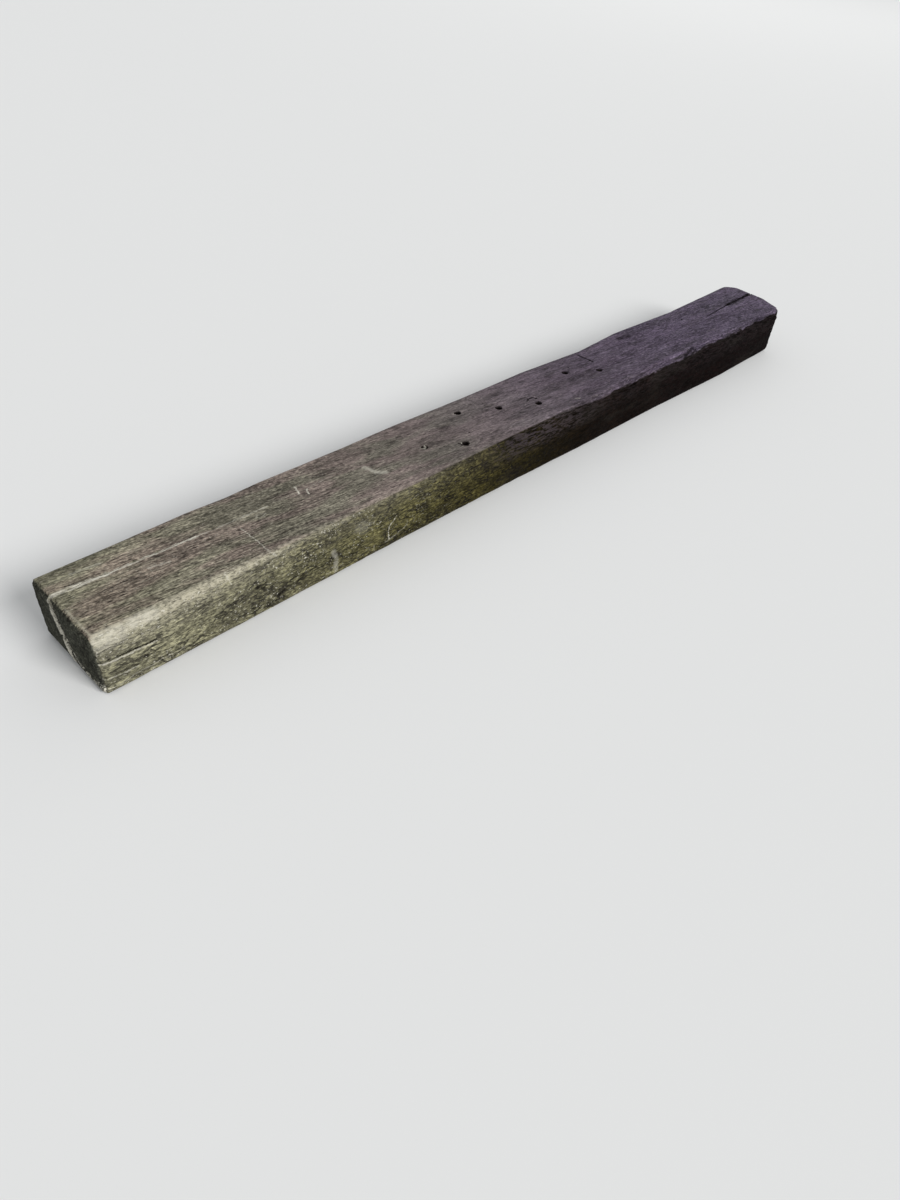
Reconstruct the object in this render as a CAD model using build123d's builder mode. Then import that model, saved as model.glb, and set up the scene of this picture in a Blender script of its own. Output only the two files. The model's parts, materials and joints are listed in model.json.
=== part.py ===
from build123d import *
from collections import namedtuple
from math import atan2, cos, pi, sin
import os

# A weathered timber railway sleeper, lying flat. Millimetres.
# X runs along the timber from its near end (-X) to its far end (+X), the front face looks
# towards -Y, and Z = 0 is the bed. The origin is the middle of the footprint.

# Sawn size
length = 2600
width = 242
height = 160

# Sideways bow over the whole length: the near end lies to the back, the far end to the front.
sweep = 10

# Screw holes, bored straight through. Four stand in a skew row, with a skew pair at each side.
hole_radius = 10
mouth_radius = 12
mouth_angle = 90
group_x = 15
group_y = -10
row_count = 4
row_pitch = 122
row_angle = -23.6
pair_pitch = 112
pair_angle = -26.8
pair_offset_x = 303
pair_offset_y = 21

# Holes left by drawn nails: place on the top, radius and depth.
NailHole = namedtuple("NailHole", "x y radius depth")
nail_holes = [
    NailHole(x=-195, y=-25, radius=2.5, depth=70),
    NailHole(x=299, y=50, radius=2.5, depth=70),
    NailHole(x=884, y=41, radius=4, depth=55),
]

# Upright corners of the ends. The far back corner is broken off in a bulging line, whose middle
# lies at these shares of the break from where the sharp corner was.
near_front_round = 15
near_back_round = 10
far_front_round = 12
broken_corner_along = 75
broken_corner_across = 60
broken_middle_along = 0.32
broken_middle_across = 0.25

# How far each part of an end stands back from the full length
near_front_set_back = 9
near_split_set_back = 5
far_front_set_back = 22
far_split_set_back = 2
near_proud_y = 0
far_proud_front_y = -30
far_proud_back_y = -10

# Wear of the end arrises: leg on the top or the bed, and leg on the end
near_end_wear = 10
far_end_wear = 6

# Splits at the ends. The near one leans towards the front face on its way down, and the end in
# front of it stands back in a step, which fades out along the end.
near_split_y = 51
near_split_width = 3.5
near_split_lean = 56
near_step_length = 51
far_split_y = 19
far_split_width = 6

# A blade's score across the top, and a bruise in the front arris
score_x = 390
score_back_y = 84
score_width = 2.5
score_depth = 2.5
score_length = 52
bruise_x = 746
bruise_length = 70
bruise_radius = 24

# The long faces and arrises, at stations given as shares of the length from the near end.
# set_back: how far the face stands inside the sawn face there, or proud of it where it is
# negative. The other values are the legs that wear and wane have taken off the top arris and
# the bottom arris: on the flat (top or bed) and on the face.
Station = namedtuple("Station", "share set_back top_flat top_face bed_flat bed_face")
front_stations = [
    Station(share=0.000, set_back=0, top_flat=15, top_face=28, bed_flat=9, bed_face=9),
    Station(share=0.100, set_back=1, top_flat=13, top_face=24, bed_flat=8, bed_face=8),
    Station(share=0.190, set_back=2, top_flat=10, top_face=15, bed_flat=9, bed_face=10),
    Station(share=0.328, set_back=1, top_flat=11, top_face=20, bed_flat=13, bed_face=18),
    Station(share=0.457, set_back=3, top_flat=13, top_face=46, bed_flat=12, bed_face=16),
    Station(share=0.576, set_back=4, top_flat=12, top_face=50, bed_flat=9, bed_face=10),
    Station(share=0.715, set_back=7, top_flat=15, top_face=62, bed_flat=8, bed_face=9),
    Station(share=0.863, set_back=0, top_flat=15, top_face=54, bed_flat=9, bed_face=8),
    Station(share=1.000, set_back=6, top_flat=13, top_face=46, bed_flat=10, bed_face=12),
]
back_stations = [
    Station(share=0.000, set_back=2, top_flat=8, top_face=10, bed_flat=10, bed_face=9),
    Station(share=0.137, set_back=0, top_flat=6, top_face=7, bed_flat=8, bed_face=8),
    Station(share=0.176, set_back=3, top_flat=7, top_face=8, bed_flat=8, bed_face=9),
    Station(share=0.210, set_back=0, top_flat=5, top_face=6, bed_flat=9, bed_face=8),
    Station(share=0.300, set_back=2, top_flat=6, top_face=7, bed_flat=8, bed_face=9),
    Station(share=0.370, set_back=0, top_flat=5, top_face=6, bed_flat=9, bed_face=8),
    Station(share=0.467, set_back=3, top_flat=6, top_face=8, bed_flat=8, bed_face=9),
    Station(share=0.560, set_back=1, top_flat=6, top_face=8, bed_flat=9, bed_face=10),
    Station(share=0.658, set_back=11, top_flat=8, top_face=14, bed_flat=10, bed_face=12),
    Station(share=0.733, set_back=0, top_flat=6, top_face=7, bed_flat=8, bed_face=8),
    Station(share=0.845, set_back=8, top_flat=8, top_face=12, bed_flat=9, bed_face=10),
    Station(share=0.950, set_back=-4, top_flat=7, top_face=9, bed_flat=9, bed_face=9),
]

# How a worn arris is drawn: its arc turns through this share of the turn that would make it
# tangent to the nearer face, and the cut runs past the timber by these margins.
arris_roundness = 0.5
arc_overrun = 16
clear_margin = 20


def along(share):
    """X of a share of the length, counted from the near end."""
    return length * (share - 0.5)


def bow(share):
    """Sideways bow of the timber there, towards the back where it is positive."""
    return sweep / 2 * cos(pi * share)


def front_y(station):
    """Y of the front face at a station."""
    return -width / 2 + bow(station.share) + station.set_back


def back_y(station):
    """Y of the back face at a station."""
    return width / 2 + bow(station.share) - station.set_back


def lost_corner(plane, corner, out, flat_leg, face_leg):
    """Section that an arris has lost, outside a worn arc from its flat to its face.

    corner is the sharp corner on the plane and out the two signs that point away from the
    timber. flat_leg is measured along the plane's X and face_leg along its Y.
    """
    on_flat = Vector(corner.X - out[0] * flat_leg, corner.Y)
    on_face = Vector(corner.X, corner.Y - out[1] * face_leg)
    chord = on_flat - on_face
    towards_flat = chord.normalized()
    outward = Vector(out[0] * face_leg, out[1] * flat_leg).normalized()
    half_turn = arris_roundness * min(atan2(face_leg, flat_leg), atan2(flat_leg, face_leg))
    arc_radius = chord.length / 2 / sin(half_turn)
    centre = (on_flat + on_face) * 0.5 - outward * (arc_radius * cos(half_turn))
    end_turn = half_turn + arc_overrun / arc_radius
    reach = outward * (arc_radius * cos(end_turn))
    sideways = towards_flat * (arc_radius * sin(end_turn))
    past_flat = centre + reach + sideways
    past_face = centre + reach - sideways
    outer = Vector(corner.X + out[0] * clear_margin, corner.Y + out[1] * clear_margin)
    with BuildSketch(plane) as section:
        with BuildLine():
            ThreePointArc(past_flat, centre + outward * arc_radius, past_face)
            Polyline(
                past_face,
                (outer.X, past_face.Y),
                outer,
                (past_flat.X, outer.Y),
                past_flat,
            )
        make_face()
    return section.sketch


def cut_long_arris(stations, face_y, out, level):
    """Cut one long arris away, with the legs that its stations give."""
    first, last = stations[0], stations[-1]
    ends = [(along(0) - clear_margin, first), (along(1) + clear_margin, last)]
    middle = [(along(station.share), station) for station in stations[1:-1]]
    on_top = out[1] > 0
    sections = []
    for x, station in [ends[0], *middle, ends[1]]:
        corner = Vector(face_y(station), level)
        flat_leg = station.top_flat if on_top else station.bed_flat
        face_leg = station.top_face if on_top else station.bed_face
        sections.append(lost_corner(Plane.YZ.offset(x), corner, out, flat_leg, face_leg))
    loft(sections, ruled=True, mode=Mode.SUBTRACT)


def cut_end_arris(line, out, level, wear):
    """Cut one arris across an end, along a line of x and y that runs past both long faces."""
    sections = [
        lost_corner(Plane.XZ.offset(-y), Vector(x, level), out, wear, wear) for x, y in line
    ]
    loft(sections, ruled=True, mode=Mode.SUBTRACT)


def cut_split(sections, into):
    """Cut a tapering split: x, mouth on the surface, width, depth and sideways lean of its root."""
    across = Vector(-into.Y, into.X)
    wedges = []
    for x, mouth, mouth_width, depth, lean in sections:
        lip = mouth - into * split_lip
        with BuildSketch(Plane.YZ.offset(x)) as wedge:
            with BuildLine():
                Polyline(
                    lip - across * (mouth_width / 2),
                    lip + across * (mouth_width / 2),
                    mouth + into * depth + across * lean,
                    close=True,
                )
            make_face()
        wedges.append(wedge.sketch)
    loft(wedges, ruled=True, mode=Mode.SUBTRACT)


# Splits and checks. Each section: x, mouth on the surface (across, up), width, depth, lean.
split_lip = 3
down = Vector(0, -1)
inwards = Vector(1, 0)
near_x = along(0)
far_x = along(1)
near_split = [
    (near_x - clear_margin, Vector(near_split_y, height), near_split_width, 2 * height, -2 * near_split_lean),
    (near_x + 114, Vector(near_split_y - 4, height), 2.6, 0.7 * height, -0.7 * near_split_lean),
    (near_x + 328, Vector(near_split_y - 12, height), 1.6, 0.3 * height, -0.3 * near_split_lean),
    (near_x + 516, Vector(near_split_y - 18, height), 0.8, 6, 0),
]
far_split = [
    (far_x + clear_margin, Vector(far_split_y + 1, height), far_split_width, 0.6 * height, 8),
    (far_x - 169, Vector(far_split_y - 4, height), 3.5, 0.4 * height, 4),
    (far_x - 326, Vector(far_split_y - 16, height), 0.8, 6, 0),
]
upper_check = [
    (near_x - clear_margin, Vector(-width / 2, 94), 3, 22, 0),
    (near_x + 94, Vector(-width / 2 + sweep / 2, 88), 2, 16, 0),
    (near_x + 138, Vector(-width / 2 + sweep / 2, 86), 0.8, 5, 0),
]
lower_check = [
    (near_x - clear_margin, Vector(-width / 2, 51), 2.5, 18, 0),
    (near_x + 79, Vector(-width / 2 + sweep / 2, 44), 0.8, 6, 0),
]

with BuildPart() as sleeper:
    # Plan of the timber: wavy long faces, ends sawn a little out of square, a step at the far
    # end's split, and the far back corner broken off
    first_front, last_front = front_stations[0], front_stations[-1]
    first_back, last_back = back_stations[0], back_stations[-1]
    near_front_x = near_x + near_front_set_back
    far_front_x = far_x - far_front_set_back
    near_front_y = front_y(first_front)
    far_front_y = front_y(last_front)
    near_back_y = back_y(first_back)
    far_back_y = back_y(last_back)
    broken_x = far_x - far_split_set_back - broken_corner_along
    front_line = [
        (near_front_x + near_front_round, near_front_y),
        *[(along(station.share), front_y(station)) for station in front_stations[1:-1]],
        (far_front_x - far_front_round, far_front_y),
    ]
    far_line = [
        (far_front_x, far_front_y + far_front_round),
        (far_x, far_proud_front_y),
        (far_x, far_proud_back_y),
        (far_x, far_split_y),
        (far_x - far_split_set_back, far_split_y),
        (far_x - far_split_set_back, far_back_y - broken_corner_across),
    ]
    back_line = [
        (broken_x, far_back_y),
        *[(along(station.share), back_y(station)) for station in reversed(back_stations[1:-1])],
        (near_x + near_back_round, near_back_y),
    ]
    near_line = [
        (near_x, near_back_y - near_back_round),
        (near_x, near_proud_y),
        (near_front_x, near_front_y + near_front_round),
    ]
    broken_middle = (
        far_x - far_split_set_back - broken_middle_along * broken_corner_along,
        far_back_y - broken_middle_across * broken_corner_across,
    )
    with BuildSketch():
        with BuildLine():
            Spline(front_line, tangents=[(1, 0)] * len(front_line))
            RadiusArc(front_line[-1], far_line[0], -far_front_round)
            Polyline(far_line)
            ThreePointArc(far_line[-1], broken_middle, back_line[0])
            Spline(back_line, tangents=[(-1, 0)] * len(back_line))
            RadiusArc(back_line[-1], near_line[0], -near_back_round)
            Polyline(near_line)
            RadiusArc(near_line[-1], front_line[0], -near_front_round)
        make_face()
    extrude(amount=height)

    # The step at the near end's split, which leans forward from the top to the bed
    steps = []
    step_run = near_step_length * (near_split_set_back + split_lip) / near_split_set_back
    for level in (-split_lip, height + split_lip):
        step_y = near_split_y - near_split_lean * (height - level) / height
        with BuildSketch(Plane.XY.offset(level)) as step:
            with BuildLine():
                Polyline(
                    (near_x - split_lip, step_y),
                    (near_x + near_split_set_back, step_y),
                    (near_x - split_lip, step_y - step_run),
                    close=True,
                )
            make_face()
        steps.append(step.sketch)
    loft(steps, ruled=True, mode=Mode.SUBTRACT)

    # Worn arrises along the timber
    cut_long_arris(front_stations, front_y, (-1, 1), height)
    cut_long_arris(front_stations, front_y, (-1, -1), 0)
    cut_long_arris(back_stations, back_y, (1, 1), height)
    cut_long_arris(back_stations, back_y, (1, -1), 0)

    # Worn arrises across the ends
    reach = width / 2 + clear_margin
    near_arris = [(near_front_x, -reach), (near_x, reach)]
    far_arris = [(far_front_x, -reach), *far_line[:2], (far_x - far_split_set_back, reach)]
    for level, up in ((height, 1), (0, -1)):
        cut_end_arris(near_arris, (-1, up), level, near_end_wear)
        cut_end_arris(far_arris, (1, up), level, far_end_wear)

    # Screw holes, their mouths worn open on the top
    with Locations(Location((group_x, group_y, height), (0, 0, row_angle))):
        with GridLocations(row_pitch, 0, row_count, 1):
            CounterSinkHole(hole_radius, mouth_radius, counter_sink_angle=mouth_angle)
    for side in (-1, 1):
        pair_x = group_x + side * pair_offset_x
        pair_y = group_y + side * pair_offset_y
        with Locations(Location((pair_x, pair_y, height), (0, 0, pair_angle))):
            with GridLocations(pair_pitch, 0, 2, 1):
                CounterSinkHole(hole_radius, mouth_radius, counter_sink_angle=mouth_angle)
    for nail in nail_holes:
        with Locations((nail.x, nail.y, height)):
            Hole(nail.radius, depth=nail.depth)

    # Splits and drying checks
    cut_split(near_split, down)
    cut_split(far_split, down)
    cut_split(upper_check, inwards)
    cut_split(lower_check, inwards)

    # The score, and the bruise
    with BuildSketch(Plane.XZ.offset(-score_back_y)):
        with Locations((score_x, height)):
            Rectangle(score_width * 2**0.5, score_depth * 2**0.5, rotation=45)
    extrude(amount=score_length, mode=Mode.SUBTRACT)
    with BuildSketch(Plane.XY.offset(height)):
        with Locations((bruise_x, -width / 2)):
            Ellipse(bruise_length / 2, bruise_radius)
            Rectangle(bruise_length, bruise_radius, align=(Align.CENTER, Align.MAX), mode=Mode.SUBTRACT)
    revolve(axis=Axis((0, -width / 2, height), (1, 0, 0)), mode=Mode.SUBTRACT)

sleeper.part.label = "sleeper"

os.makedirs("parts", exist_ok=True)
export_step(sleeper.part, "parts/sleeper.step")
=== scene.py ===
import json
from collections import namedtuple
from types import SimpleNamespace

import bmesh
import bpy
import numpy as np
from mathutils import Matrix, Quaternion, Vector
from mathutils.bvhtree import BVHTree
from mathutils.kdtree import KDTree


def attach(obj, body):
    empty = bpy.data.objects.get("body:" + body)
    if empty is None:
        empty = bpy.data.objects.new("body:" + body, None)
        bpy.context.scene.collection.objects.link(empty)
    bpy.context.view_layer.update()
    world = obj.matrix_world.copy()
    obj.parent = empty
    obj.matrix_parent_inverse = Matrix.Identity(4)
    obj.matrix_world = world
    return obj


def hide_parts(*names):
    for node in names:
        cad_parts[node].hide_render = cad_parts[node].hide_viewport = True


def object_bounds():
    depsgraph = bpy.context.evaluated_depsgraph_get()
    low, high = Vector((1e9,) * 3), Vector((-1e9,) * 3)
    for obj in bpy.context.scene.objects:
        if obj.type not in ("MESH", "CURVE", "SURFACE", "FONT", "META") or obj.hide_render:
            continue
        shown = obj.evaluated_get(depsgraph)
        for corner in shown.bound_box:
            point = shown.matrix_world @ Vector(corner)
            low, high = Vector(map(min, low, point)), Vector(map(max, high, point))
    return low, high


# The weathered timber sleeper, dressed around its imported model. The frame is the model's:
# X along the timber from its near end, the front face towards -Y, Z up from the bed.
# Blender works in metres. The shapes here are worked out in millimetres and scaled at the end.

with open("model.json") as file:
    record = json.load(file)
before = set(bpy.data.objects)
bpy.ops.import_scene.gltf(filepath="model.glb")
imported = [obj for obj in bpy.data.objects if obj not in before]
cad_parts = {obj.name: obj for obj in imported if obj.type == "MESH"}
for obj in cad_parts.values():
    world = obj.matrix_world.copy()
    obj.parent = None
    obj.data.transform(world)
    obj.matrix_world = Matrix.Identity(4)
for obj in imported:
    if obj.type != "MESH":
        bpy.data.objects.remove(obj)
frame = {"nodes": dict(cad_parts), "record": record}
cad_low, cad_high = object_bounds()

MM = 0.001
LENGTH = round((cad_high[0] - cad_low[0]) / MM)
HEIGHT = round(cad_high[2] / MM)
HALF = LENGTH / 2

# Splits in the top and checks in the front, from section to section: x, mouth on the surface,
# width, depth and how far the root leans aside
SPLIT_NEAR = [
    (-1320, 51, 3.5, 320, -112),
    (-1186, 47, 2.6, 112, -39),
    (-972, 39, 1.6, 48, -17),
    (-784, 33, 0.8, 6, 0),
]
SPLIT_FAR = [(974, 3, 0.8, 6, 0), (1131, 15, 3.5, 64, 4), (1320, 20, 6, 96, 8)]
CHECK_UPPER = [(-1320, 94, 3, 22, 0), (-1206, 88, 2, 16, 0), (-1162, 86, 0.8, 5, 0)]
CHECK_LOWER = [(-1320, 51, 2.5, 18, 0), (-1221, 44, 0.8, 6, 0)]
# The front face near the checks
CHECK_FACE_Y = -118
# Nail holes in the top: x, y, radius and depth
NAIL_HOLES = [(-195, -25, 2.5, 70), (299, 50, 2.5, 70), (884, 41, 4, 55)]
# The blade's score in the top: its ends, half its width and its depth
SCORE = [(386, 84), (392, 32)]
SCORE_HALF_WIDTH = 1.5
SCORE_DEPTH = 3.4
# The bruise in the front arris
BRUISE_X = 746
# The step at the near end: y of its wall at the top, how far the wall leans to the front on its
# way down, how deep the end stands back there, and along how much of the end it fades out
STEP_Y = 51
STEP_LEAN = 56
STEP_DEPTH = 8
STEP_RUN = 60
BORES = [
    (mount["pos_m"][0] / MM, mount["pos_m"][1] / MM)
    for mount in frame["record"]["mounts"]
    if mount["kind"] == "bore"
]
BORE_RADIUS = 10
MOUTH_RADIUS = 12
MOUTH_WEAR = 0.4
# Dirt packed in the mouths of three bores: number of the bore, and how deep the dirt lies
CLOGGED = {0: 5.0, 5: 1.3, 7: 5.0}
CLOG_THICKNESS = 40
CLOG_RADIUS = 9.0


# Smooth noise on a lattice

LATTICE = 32
OCTAVE_SHARE = 0.55


def smooth_noise(points, size, seed):
    """Noise from 0 to 1 at points, with features of the given size along X, Y and Z."""
    block = np.random.default_rng(seed).random((LATTICE, LATTICE, LATTICE))
    place = points / np.array(size, float)
    cell = np.floor(place).astype(int)
    blend = place - cell
    blend = blend * blend * (3 - 2 * blend)
    value = np.zeros(points.shape[:-1])
    for corner in np.ndindex(2, 2, 2):
        weight = np.prod(np.where(corner, blend, 1 - blend), axis=-1)
        index = (cell + corner) % LATTICE
        value += weight * block[index[..., 0], index[..., 1], index[..., 2]]
    return value


def layered_noise(points, size, seed, layers=3):
    """Several octaves of smooth noise, from 0 to 1."""
    total = np.zeros(points.shape[:-1])
    weight = 1.0
    whole = 0.0
    for layer in range(layers):
        total += weight * smooth_noise(points, np.array(size) / 2**layer, seed + layer)
        whole += weight
        weight *= OCTAVE_SHARE
    return total / whole


def ramp(value, low, high):
    """Smooth step from 0 at low to 1 at high."""
    t = np.clip((value - low) / (high - low), 0, 1)
    return t * t * (3 - 2 * t)


# The skin of the timber, read from the model by rays

# Inner corners from which the rays round a section fan out: place, reach to the sawn faces,
# rays in the fan, rays on the flat that follows it, and how softly the arris is worn.
Corner = namedtuple("Corner", "y z reach fan flat soft")
CORNERS = [
    Corner(y=-90, z=30, reach=30, fan=20, flat=40, soft=0.25),
    Corner(y=90, z=30, reach=30, fan=14, flat=28, soft=0.2),
    Corner(y=85, z=125, reach=35, fan=26, flat=70, soft=0.4),
    Corner(y=-55, z=95, reach=65, fan=56, flat=28, soft=1.0),
]
OUTWARD = np.array([(-1, 0), (0, -1), (1, 0), (0, 1)], float)
# Rings of the skin: stations along the timber, rings in the fan over each end's arris and on its flat
STATIONS = 236
NEAR_FAN = 26
FAR_FAN = 28
NEAR_RINGS = 15
FAR_RINGS = 8
# How deep in the far end its rays start, and the core in Y and Z to which the rings of an end shrink
FAR_DEPTH = 85
CORE_Y = (-35, 40)
CORE_Z = 68
INNERMOST_RING = 0.88
END_INSET = 0.35
ARRIS_CROWDING = 1.4
# How the arrises are eased: rounds, strength, softness of the ends, and how far softness spreads
SOFTENING_ROUNDS = 16
EASE = 0.5
END_SOFTNESS = 0.5
END_SPREAD = 5
SECTION_SPREAD = 9
FILL_ROUNDS = 12
# A ray starts so many reaching vectors out. What it hits deeper than the least share is no skin.
RAY_START = 4
LEAST_SHARE = 0.3
# How far round a cut the skin is passed over, and how thick a face's own skin is
SPLIT_MARGIN = 0.7
SPLIT_END_MARGIN = 30
SPLIT_SUNK = (-0.3, 1.02)
HOLE_MARGIN = 0.6
LINE_MARGIN = 2.4
SCORE_MIDDLE_X = 390
SCORE_END_MARGIN = 4
CHECK_END_MARGIN = 3
CHECK_REACH_Y = -80
FACE_SKIN = 10


def spread_out(values, count):
    """Running mean over so many neighbours."""
    return np.convolve(values, np.ones(count) / count, mode="same")


def fan_direction(first, second, turn):
    """Towards the sides of a square: along first at turn 0, at its corner at 1, along second at 2."""
    return first + turn * second if turn < 1 else (2 - turn) * first + second


def section_rays():
    """Base points and reaching vectors in Y and Z, depths and softness, round a section."""
    bases, reaches, depths, softness = [], [], [], []
    for i, corner in enumerate(CORNERS):
        after = CORNERS[(i + 1) % 4]
        first, second = OUTWARD[i], OUTWARD[(i + 1) % 4]
        for k in range(corner.fan):
            bases.append((corner.y, corner.z))
            reaches.append(corner.reach * fan_direction(first, second, 2 * (k + 0.5) / corner.fan))
            depths.append(corner.reach)
            softness.append(corner.soft)
        for k in range(corner.flat):
            share = k / (corner.flat - 1)
            depth = corner.reach + share * (after.reach - corner.reach)
            bases.append((corner.y + share * (after.y - corner.y), corner.z + share * (after.z - corner.z)))
            reaches.append(depth * second)
            depths.append(depth)
            softness.append(0.0)
    softness = spread_out(np.tile(softness, 3), SECTION_SPREAD)[len(bases):2 * len(bases)]
    return np.array(bases), np.array(reaches), np.array(depths), softness


def fan_turns(count):
    """Turns of a fan over an end, drawn together at its arris."""
    half = count // 2
    turns = 1 - (1 - (np.arange(half) + 1) / (half + 1)) ** ARRIS_CROWDING
    return np.concatenate([turns, [1.0], 2 - turns[::-1]])


def end_rays(side, fan, rings, deep, inner, lateral):
    """Rows of rays over an end: rings on its flat, growing from the core, then the fan at its arris."""
    core = np.stack([np.clip(inner[:, 0], *CORE_Y), np.full(len(inner), CORE_Z)], axis=-1)
    nil = np.zeros((len(inner), 1))
    inner_x = side * (HALF - deep)
    rows = []
    for share in np.linspace(INNERMOST_RING, 0, rings):
        base = inner * (1 - share) + core * share
        rows.append((np.hstack([inner_x, base]), np.hstack([side * deep, nil, nil]), 0.0))
    for turn in fan_turns(fan)[::-1]:
        sideways = lateral * (1 if turn < 1 else 2 - turn)
        axial = side * deep * (turn if turn < 1 else 1)
        rows.append((np.hstack([inner_x, inner]), np.hstack([axial, sideways]), END_SOFTNESS))
    return rows


def all_rays():
    """Base points and reaching vectors, one row for each ring of the skin, and how soft each is."""
    bases, reaches, depths, around = section_rays()
    inner = bases + END_INSET * reaches
    lateral = (1 - END_INSET) * reaches
    near_depth = (1 - END_INSET) * depths[:, None]
    far_depth = np.full_like(near_depth, FAR_DEPTH)
    nil = np.zeros((len(bases), 1))
    rows = end_rays(-1, NEAR_FAN, NEAR_RINGS, near_depth, inner, lateral)
    for share in np.linspace(0, 1, STATIONS):
        x = (1 - share) * (near_depth - HALF) + share * (HALF - far_depth)
        rows.append((np.hstack([x, inner]), np.hstack([nil, lateral]), 0.0))
    rows += reversed(end_rays(1, FAR_FAN, FAR_RINGS, far_depth, inner, lateral))
    starts, vectors, at_end = (np.array(column) for column in zip(*rows))
    return starts, vectors, around, at_end


def along_sections(x, sections):
    """Mouth, width, depth and lean of a split at x, between its sections."""
    places = [s[0] for s in sections]
    return [np.interp(x, places, [s[k] for s in sections]) for k in (1, 2, 3, 4)]


def in_split(points, sections):
    """Whether points lie in a tapering split that opens on the top, or just beside it."""
    x, y, z = np.moveaxis(points, -1, 0)
    mouth, width, depth, lean = along_sections(x, sections)
    sunk = (HEIGHT - z) / depth
    near_x = (x > sections[0][0] - SPLIT_END_MARGIN) & (x < sections[-1][0] + SPLIT_END_MARGIN)
    near_z = (sunk > SPLIT_SUNK[0]) & (sunk < SPLIT_SUNK[1])
    half = width / 2 * (1 - sunk) + SPLIT_MARGIN
    return near_x & near_z & (np.abs(y - mouth - lean * sunk) < half)


def in_cut(points):
    """Whether points on the outer skin lie in the mouth of a hole, split, check or score."""
    x, y, z = np.moveaxis(points, -1, 0)
    on_top = z > HEIGHT - FACE_SKIN
    on_bed = z < FACE_SKIN
    found = in_split(points, SPLIT_NEAR) | in_split(points, SPLIT_FAR)
    for bore_x, bore_y in BORES:
        found |= (np.hypot(x - bore_x, y - bore_y) < MOUTH_RADIUS + HOLE_MARGIN) & (on_top | on_bed)
    for nail_x, nail_y, radius, _ in NAIL_HOLES:
        found |= (np.hypot(x - nail_x, y - nail_y) < radius + HOLE_MARGIN) & on_top
    beside = (y > SCORE[1][1] - SCORE_END_MARGIN) & (y < SCORE[0][1] + SCORE_END_MARGIN)
    found |= (np.abs(x - SCORE_MIDDLE_X) < LINE_MARGIN) & beside & on_top
    for check in (CHECK_UPPER, CHECK_LOWER):
        level = along_sections(x, check)[0]
        near_x = x < check[-1][0] + CHECK_END_MARGIN
        found |= near_x & (np.abs(z - level) < LINE_MARGIN) & (y < CHECK_REACH_Y)
    return found


def fill_lost(share, lost):
    """Fill the samples that are lost from their neighbours, working inwards, and ease them."""
    share = np.where(lost, np.nan, share)
    settled = 0
    while settled < FILL_ROUNDS:
        rows = np.pad(share, ((1, 1), (0, 0)), mode="edge")
        near = np.stack([rows[:-2], rows[2:], np.roll(share, 1, axis=1), np.roll(share, -1, axis=1)])
        known = ~np.isnan(near)
        mean = np.where(known, near, 0).sum(axis=0) / np.maximum(known.sum(axis=0), 1)
        settled += not np.isnan(share).any()
        share = np.where(lost & known.any(axis=0), mean, share)
    return share


def soften(grid, around, at_end):
    """Ease the arrises: round the section by around, and over the ends by at_end."""
    rows = spread_out(at_end, END_SPREAD)[:, None, None]
    columns = around[None, :, None]
    for _ in range(SOFTENING_ROUNDS):
        beside = (np.roll(grid, 1, axis=1) + np.roll(grid, -1, axis=1)) / 2
        grid = grid + EASE * columns * (beside - grid)
        padded = np.pad(grid, ((1, 1), (0, 0), (0, 0)), mode="edge")
        grid = grid + EASE * rows * ((padded[:-2] + padded[2:]) / 2 - grid)
    return grid


def read_skin(node):
    """Points of the model's outer skin, with its holes, splits, checks and score passed over."""
    tree = BVHTree.FromObject(node, bpy.context.evaluated_depsgraph_get())
    starts, vectors, around, at_end = all_rays()
    share = np.zeros(starts.shape[:2])
    for i, j in np.ndindex(*share.shape):
        start = Vector(starts[i, j] * MM)
        vector = Vector(vectors[i, j] * MM)
        hit = tree.ray_cast(start + RAY_START * vector, -vector)[0]
        if hit is not None:
            share[i, j] = (hit - start).dot(vector) / vector.length_squared
    lost = in_cut(starts + vectors) | (share < LEAST_SHARE)
    grid = starts + vectors * fill_lost(share, lost)[..., None]
    return soften(grid, around, at_end)


def grid_normals(grid):
    """Outward normals of a grid of points, rings along axis 0 and round the section on axis 1."""
    around = np.roll(grid, -1, axis=1) - np.roll(grid, 1, axis=1)
    along = np.gradient(grid, axis=0)
    normal = np.cross(around, along)
    return normal / np.linalg.norm(normal, axis=-1, keepdims=True)


def skin_mesh(grid, name):
    """Closed mesh over the grid of rings, its two innermost rings filled."""
    rows, columns = grid.shape[:2]
    index = np.arange(rows * columns).reshape(rows, columns)
    after = np.roll(index, -1, axis=1)
    quads = np.stack([index[:-1], after[:-1], after[1:], index[1:]], axis=-1).reshape(-1, 4)
    mesh = bpy.data.meshes.new(name)
    mesh.from_pydata((grid * MM).reshape(-1, 3).tolist(), [], quads.tolist())
    shape = bmesh.new()
    shape.from_mesh(mesh)
    shape.verts.ensure_lookup_table()
    caps = [
        shape.faces.new([shape.verts[i] for i in reversed(index[0].tolist())]),
        shape.faces.new([shape.verts[i] for i in index[-1].tolist()]),
    ]
    bmesh.ops.triangulate(shape, faces=caps)
    bmesh.ops.recalc_face_normals(shape, faces=shape.faces)
    shape.to_mesh(mesh)
    shape.free()
    return mesh


# The timber's grain and weather

# The pith in Y and Z, how far it drifts aside along X, and the width of a growth ring
PITH = (40, 68)
PITH_DRIFT = -0.008
RING = 5.5
KNOT_STRETCH = (1.8, 1, 1)
# Knots: place, radius, and how far the grain bends round them
KNOTS = [((-875, -117, 46), 26, 3.0), ((-908, -42, 160), 22, 1.6), ((546, 57, 160), 30, 2.4)]
# Pits in the front face near the knot: place and size
PITS = [((-916, -118, 83), 9), ((-863, -118, 30), 12), ((-812, -118, 38), 10), ((-846, -118, 44), 8)]
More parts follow.
